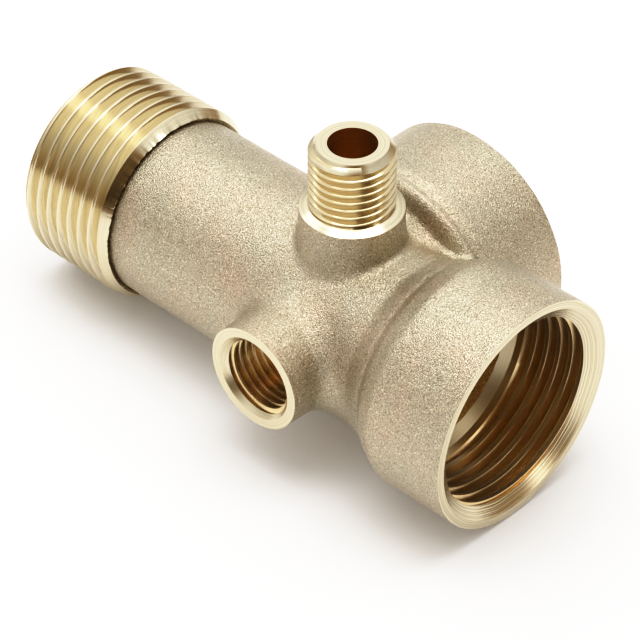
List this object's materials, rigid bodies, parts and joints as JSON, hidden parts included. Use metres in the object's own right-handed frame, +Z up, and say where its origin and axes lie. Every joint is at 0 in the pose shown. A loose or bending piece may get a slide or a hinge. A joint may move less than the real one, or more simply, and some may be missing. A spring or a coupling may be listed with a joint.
{
  "type": "five-way pipe fitting",
  "caption": "Brass pump fitting: a run with outside and inside large pipe threads, a large branch socket, a small threaded port and a small threaded nipple.",
  "frame": {"origin": "where the axes of the run, the branch, the small port and the nipple cross", "axes": "+X along the run towards the main socket, +Y along the branch towards its socket, +Z up along the nipple"},
  "size_m": [0.0909, 0.0486, 0.0509],
  "materials": {
    "brass_body": "sand-blasted casting with turned threads and faces"
  },
  "bodies": {
    "root": {"fitting_body": "brass_body"}
  },
  "joints": []
}
